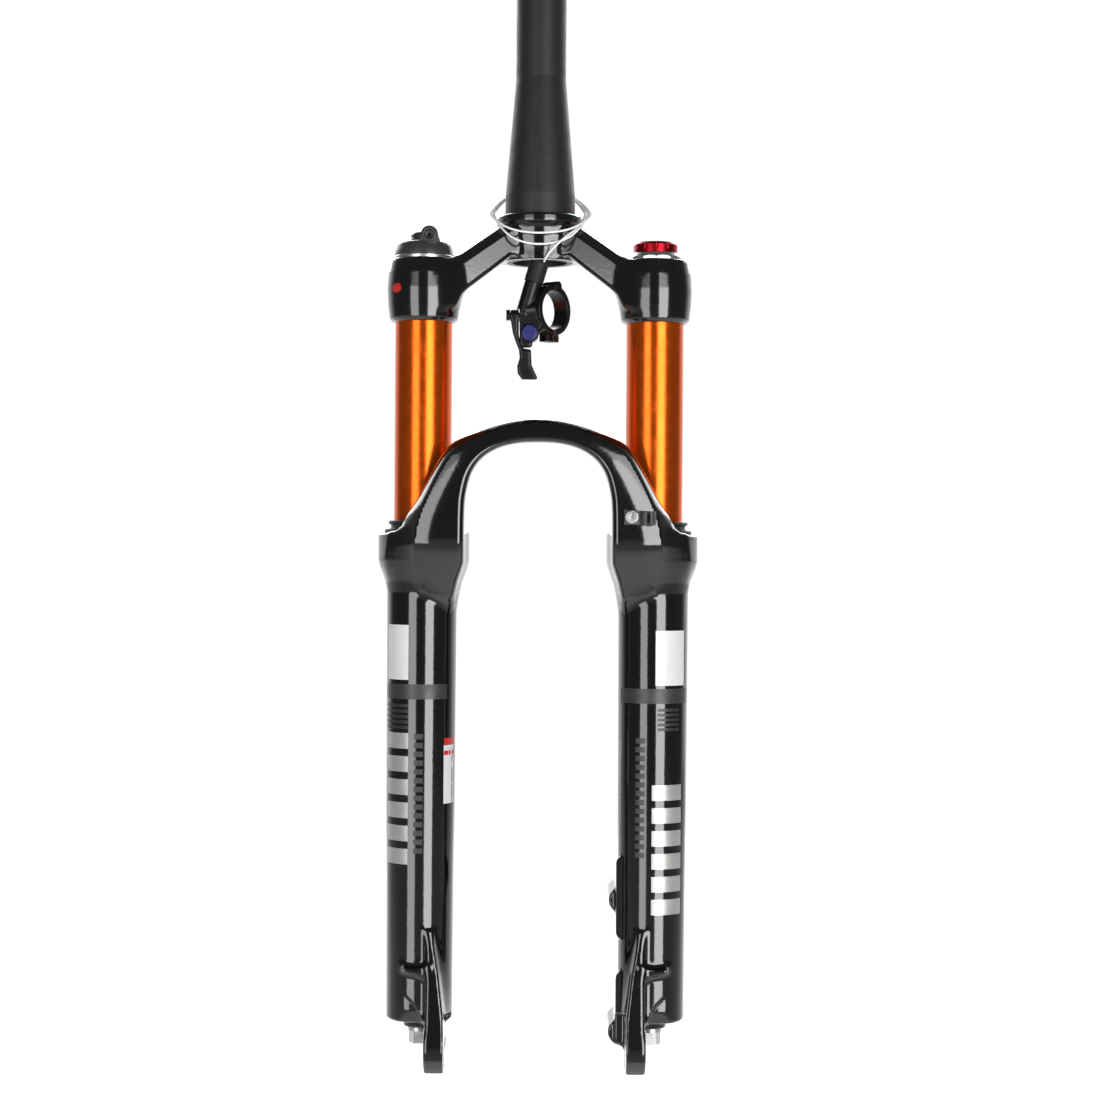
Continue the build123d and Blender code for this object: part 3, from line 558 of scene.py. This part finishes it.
def post_field(x, y, z):
    """The two brake bosses on the back of the air leg."""
    bosses = np.full(x.shape, 1e3)
    for height, low, high in ((UPPER_POST_Z, 20, 24), (LOWER_POST_Z, 6, 34)):
        bar = round_bar(x - POST_X, z - height, y, POST_R, -26, 12, 1.2)
        rib = [(-30, height + high), (-30, height - low), (6, height - 5), (6, height + 5)]
        rib = common(outline(y, z, rib), slab(x, POST_X - 3.5, POST_X + 9), 2)
        bosses = np.minimum(bosses, join(bar, rib, 2))
    upper, lower = np.hypot(x - POST_X, z - UPPER_POST_Z), np.hypot(x - POST_X, z - LOWER_POST_Z)
    holes = np.minimum(upper, lower) - POST_HOLE_R
    return cut(bosses, common(holes, -4 - y, 0.3), 0.6)


def lowers_field(x, y, z):
    """Legs, arch, dropouts and brake bosses as one casting, with its bores and slots."""
    half = np.abs(x)
    bore = np.hypot(half - STANCHION_X, y - STANCHION_Y)
    body = join(leg_chart(bore, z), arch_field(half, y, z), 8)
    deepest = np.interp(z, [-458, -446], [-35, -39.9])
    body = cut(body, common(scoop_chart(half, z), y - deepest, 0.8), 1.2)
    body = join(body, dropout_field(half, y, z), 4)
    body = join(body, post_field(x, y, z), 3)
    body = cut(body, common(bore - SEAL_SEAT_R, SEAL_SEAT_Z - z, 0.4), 0.6)
    body = cut(body, common(bore - LEG_BORE_R, LEG_FLOOR - z, 0.4), 0.6)
    body = cut(body, common(bore - FOOT_R, z - FOOT_Z, 0.3), 0.4)
    body = cut(body, common(bore - FOOT_BOLT_R, slab(z, -470, -440), 0.3), 0.3)
    axle = np.hypot(y - AXLE_Y, z - AXLE_Z)
    slot = np.minimum(axle - AXLE_R, np.maximum(np.abs(y - AXLE_Y) - AXLE_R, z - AXLE_Z))
    body = cut(body, slot, 0.8)
    recess = common(axle - NUT_RECESS_R, RECESS_FLOOR_X - half, 0.3)
    body = cut(body, recess, 0.6)
    wheel_side = common(common(half - DROPOUT_FACE_X, z + 449, 1), y + 27.5, 1)
    body = cut(body, wheel_side, 1)
    hose_hole = common(np.hypot(x - HOSE_HOLE_X, z - HOSE_HOLE_Z) - 2, y + 50, 0.3)
    body = cut(body, hose_hole, 0.3)
    return np.maximum(body, np.maximum(CASTING_LOW - z, half - CASTING_SIDE))


# ---- remote --------------------------------------------------------------------

PIVOT_Y, PIVOT_Z = -28.5, -58.7
BUTTON_X, BUTTON_Z = -5.5, -69
REMOTE_STEP = 0.4
lever_chart = charted([
    (-16.1, -58.7), (-15.9, -63), (-15, -68.5), (-13.2, -74), (-11.5, -78), (-11, -82.5),
    (-12.4, -87.2), (-12, -91.5), (-9.6, -94.8), (-1.6, -94.8), (-0.9, -93.6),
    (-4.2, -86.5), (-4.6, -78), (-8.6, -77.4), (-10.4, -75), (-11.5, -70), (-11.6, -58.7),
])


def lever_field(x, y, z):
    """Thumb lever: a blade with rounded edges and its hub."""
    blade = common(lever_chart(x, z), np.abs(y - PIVOT_Y) - 2.6, 1.8)
    hub = round_bar(y - PIVOT_Y, z - PIVOT_Z, x, 3.1, -16.2, -11.6, 0.6)
    return cut(join(blade, hub, 1.2), np.hypot(y - PIVOT_Y, z - PIVOT_Z) - 1.6, 0.2)


def fairing_field(x, y, z):
    """The part of the perch that fills in below and beside the button."""
    block = common(common(slab(x, -11.1, -3.9), slab(z, -77, -62), 2.4), slab(y, -31.6, -22.5), 1.6)
    block = common(block, np.hypot(y - PIVOT_Y, z - PIVOT_Z) - 18.4, 0.6)
    button = common(np.hypot(x - BUTTON_X, z - BUTTON_Z) - 4.5, y + 26, 0.2)
    return cut(block, button, 0.4)


# ---- pieces made from the fields -------------------------------------------------

STEP = {"crown": 0.8, "lowers": 1.05}


def make_castings():
    """The crown and the lower casting."""
    low, high = (-90, -47, -66), (90, 28, 4)
    crown = solid_from_field("crown_forging", crown_field, low, high, STEP["crown"])
    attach(crown, "crown_unit")
    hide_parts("crown")
    paint(crown, "crown_gloss_black")
    low, high = (-94, -63, -484), (94, 17, -112)
    lowers = solid_from_field("lowers_casting", lowers_field, low, high, STEP["lowers"])
    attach(lowers, "lowers")
    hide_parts("lower_casting")
    paint(lowers, "casting_gloss_black")


def make_remote():
    """The lever, and the filled part of the perch."""
    lever = solid_from_field("lever_blade", lever_field, (-17, -32, -96), (0, -25, -55), REMOTE_STEP)
    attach(lever, "remote_lever")
    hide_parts("remote_lever")
    paint(lever, "remote_black")
    fairing = solid_from_field("perch_fairing", fairing_field, (-12, -33, -78), (-3, -21, -61), REMOTE_STEP)
    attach(fairing, "remote")
    fairing.data.materials.append(MATERIALS["remote_black"])


make_castings()
make_remote()


# ---- plain graphic panels on the legs ---------------------------------------------
# A shape is (outer, inner, top, bottom): two distances outwards from the leg's middle
# line, and two heights.

def panel_material(name, dark, light, rough, metallic, grain=(300, 300, 300)):
    """Printed film under the lacquer."""
    return metal(name, dark, light, rough, grain, 0.03, metallic)


PANELS = {
    "white": panel_material("print_white", (0.55, 0.55, 0.56), (0.66, 0.66, 0.67), 0.3, 0.0),
    "grey": panel_material("print_grey", (0.020, 0.020, 0.021), (0.032, 0.032, 0.034), 0.35, 0.0),
    "dark": panel_material("print_dark", (0.010, 0.010, 0.011), (0.020, 0.020, 0.021), 0.35, 0.0),
    "foil": panel_material("print_foil", (0.30, 0.30, 0.31), (0.62, 0.60, 0.57), 0.3, 0.6, (90, 90, 700)),
    "red": panel_material("print_red", (0.42, 0.012, 0.012), (0.52, 0.02, 0.02), 0.3, 0.0),
}


def leg_radius(z):
    """The leg's outer radius at a height."""
    return np.interp(z, [-451.6, -214, -208], [18.8, 19.6, 20.6])


def leg_panels(name, side, finish, shapes, lift=0.06, radius=leg_radius, body="lowers"):
    """Thin printed shapes that lie on a curved leg or clamp, as one piece."""
    points, faces = [], []
    for outer, inner, top, bottom in shapes:
        columns = max(2, int(abs(outer - inner) / 1.2) + 1)
        rows = max(2, int(abs(top - bottom) / 12) + 2)
        start = len(points)
        for z in np.linspace(top, bottom, rows):
            reach = radius(z) + lift
            for across in np.linspace(outer, inner, columns):
                angle = math.asin(max(-0.995, min(0.995, across / reach)))
                x = side * (STANCHION_X + reach * math.sin(angle))
                y = STANCHION_Y - reach * math.cos(angle)
                points.append((x * MM, y * MM, z * MM))
        for row in range(rows - 1):
            for column in range(columns - 1):
                a = start + row * columns + column
                face = (a, a + 1, a + columns + 1, a + columns)
                faces.append(face if side < 0 else face[::-1])
    mesh = bpy.data.meshes.new(name)
    mesh.from_pydata(points, [], faces)
    mesh.shade_smooth()
    obj = bpy.data.objects.new(name, mesh)
    bpy.context.scene.collection.objects.link(obj)
    obj.data.materials.append(PANELS[finish])
    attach(obj, body)


def disc(centre, middle, radius, count=14):
    """A round shape made of flat strips."""
    edges = np.linspace(radius, -radius, count + 1)
    strips = []
    for top, bottom in zip(edges[:-1], edges[1:]):
        half = math.sqrt(max(radius ** 2 - ((top + bottom) / 2) ** 2, 0))
        strips.append((centre + half, centre - half, middle + top, middle + bottom))
    return strips


def clamp_radius(z):
    """The crown clamp's outer radius at a height."""
    return np.interp(z, [-53.5, -44.5, -35.5], [20.1, 20.6, 20.0])


def ticks(outer, inner, top, bottom, count, share=0.6):
    """A column of short bars."""
    pitch = (bottom - top) / count
    return [(outer, inner, top + pitch * n, top + pitch * (n + share)) for n in range(count)]


def make_panels():
    """Blocks, bands and bars that stand for the printed decoration."""
    leg_panels("block_left", -1, "white", [(18.9, 6.3, -232, -262.5)])
    leg_panels("block_right", 1, "white", [(0.6, 16.8, -234.3, -264.8)])
    leg_panels("band_left", -1, "grey", [(18.9, -15, -264.9, -273.2)])
    leg_panels("band_right", 1, "grey", [(-18, 18.9, -266.5, -274.8)])
    leg_panels("hatch_left", -1, "dark", ticks(18.9, 6.3, -276, -291, 5))
    leg_panels("hatch_right", 1, "dark", ticks(2, 14, -277.5, -291, 5))
    leg_panels("bars_left", -1, "foil", ticks(18.9, 6.1, -292, -369, 6, 0.68))
    leg_panels("bars_right", 1, "foil", ticks(-1, 15.6, -319.9, -396, 6, 0.68))
    leg_panels("ticks_left", -1, "grey", ticks(3, -2, -292.4, -360.6, 14))
    leg_panels("ticks_right", 1, "grey", ticks(-10, -5, -294, -362.3, 14))
    leg_panels("notice_left", -1, "white", [(-13.4, -18.4, -299, -331.5)])
    notice_bars = [(-13.6, -18.5, -295, -298.8), (-13.6, -18.4, -302, -304.5)]
    leg_panels("notice_left_bars", -1, "red", notice_bars, 0.1)
    leg_panels("notice_right", 1, "white", [(-19.1, -17.8, -296, -344)])
    leg_panels("badge", -1, "red", disc(14.4, -44.8, 2.6), 0.12, clamp_radius, "crown_unit")


make_panels()


# ---- studio ----------------------------------------------------------------------

STRIP_Y = -1.2
FLOOR_Z = -1.3


def emission_world():
    """Surroundings that are dark in front of the object and white behind it."""
    world = bpy.data.worlds.new("studio")
    world.use_nodes = True
    nodes, links = world.node_tree.nodes, world.node_tree.links
    place = nodes.new("ShaderNodeTexCoord").outputs["Generated"]
    split = nodes.new("ShaderNodeSeparateXYZ")
    links.new(place, split.inputs["Vector"])
    node = nodes.new("ShaderNodeMapRange")
    node.interpolation_type = "SMOOTHSTEP"
    for socket, value in (("From Min", 0.25), ("From Max", 0.75), ("To Min", 0.13), ("To Max", 1.05)):
        node.inputs[socket].default_value = value
    links.new(split.outputs["Y"], node.inputs["Value"])
    links.new(node.outputs["Result"], nodes["Background"].inputs["Color"])
    bpy.context.scene.world = world


def area_light(name, width, height, power, place, tilt):
    """A rectangular light. Without a tilt it shines straight down."""
    lamp = bpy.data.lights.new(name, "AREA")
    lamp.shape = "RECTANGLE"
    lamp.size, lamp.size_y = width, height
    lamp.energy = power
    obj = bpy.data.objects.new(name, lamp)
    bpy.context.scene.collection.objects.link(obj)
    obj.location = place
    obj.rotation_euler = (math.radians(tilt), 0, 0)


def strip_light(name, left, right, low, high, power):
    """A soft light that faces the object, from its edges in the plane just before the camera."""
    middle = ((left + right) / 2, STRIP_Y, (low + high) / 2)
    area_light(name, right - left, high - low, power, middle, 90)


def make_studio():
    """Surroundings, a light that keeps the ground white, a light from behind, four strips and a floor."""
    emission_world()
    area_light("floor_wash", 9, 6, 500, (0, 5, 1.7), 0)
    area_light("rear_fill", 2.4, 1.0, 45, (0, 2.2, 1.5), -54)
    strip_light("strip_left", -1.05, -0.38, -0.80, 0.15, 9)
    strip_light("strip_left_top", -1.05, -0.38, 0.15, 0.32, 0.65)
    strip_light("strip_right", 0.26, 1.00, -0.80, 0.15, 17)
    strip_light("strip_right_top", 0.26, 1.00, 0.15, 0.32, 1.7)
    mesh = bpy.data.meshes.new("floor")
    corners = [(-8, -8, FLOOR_Z), (8, -8, FLOOR_Z), (8, 7.4, FLOOR_Z), (-8, 7.4, FLOOR_Z)]
    mesh.from_pydata(corners, [], [(0, 1, 2, 3)])
    floor = bpy.data.objects.new("floor", mesh)
    bpy.context.scene.collection.objects.link(floor)
    floor.data.materials.append(moulded("floor_paint", (0.78, 0.78, 0.78), (0.82, 0.82, 0.82), 0.6, 8, 0.02))
    settings = bpy.context.scene.view_settings
    settings.view_transform = "Standard"
    settings.look = "None"


make_studio()
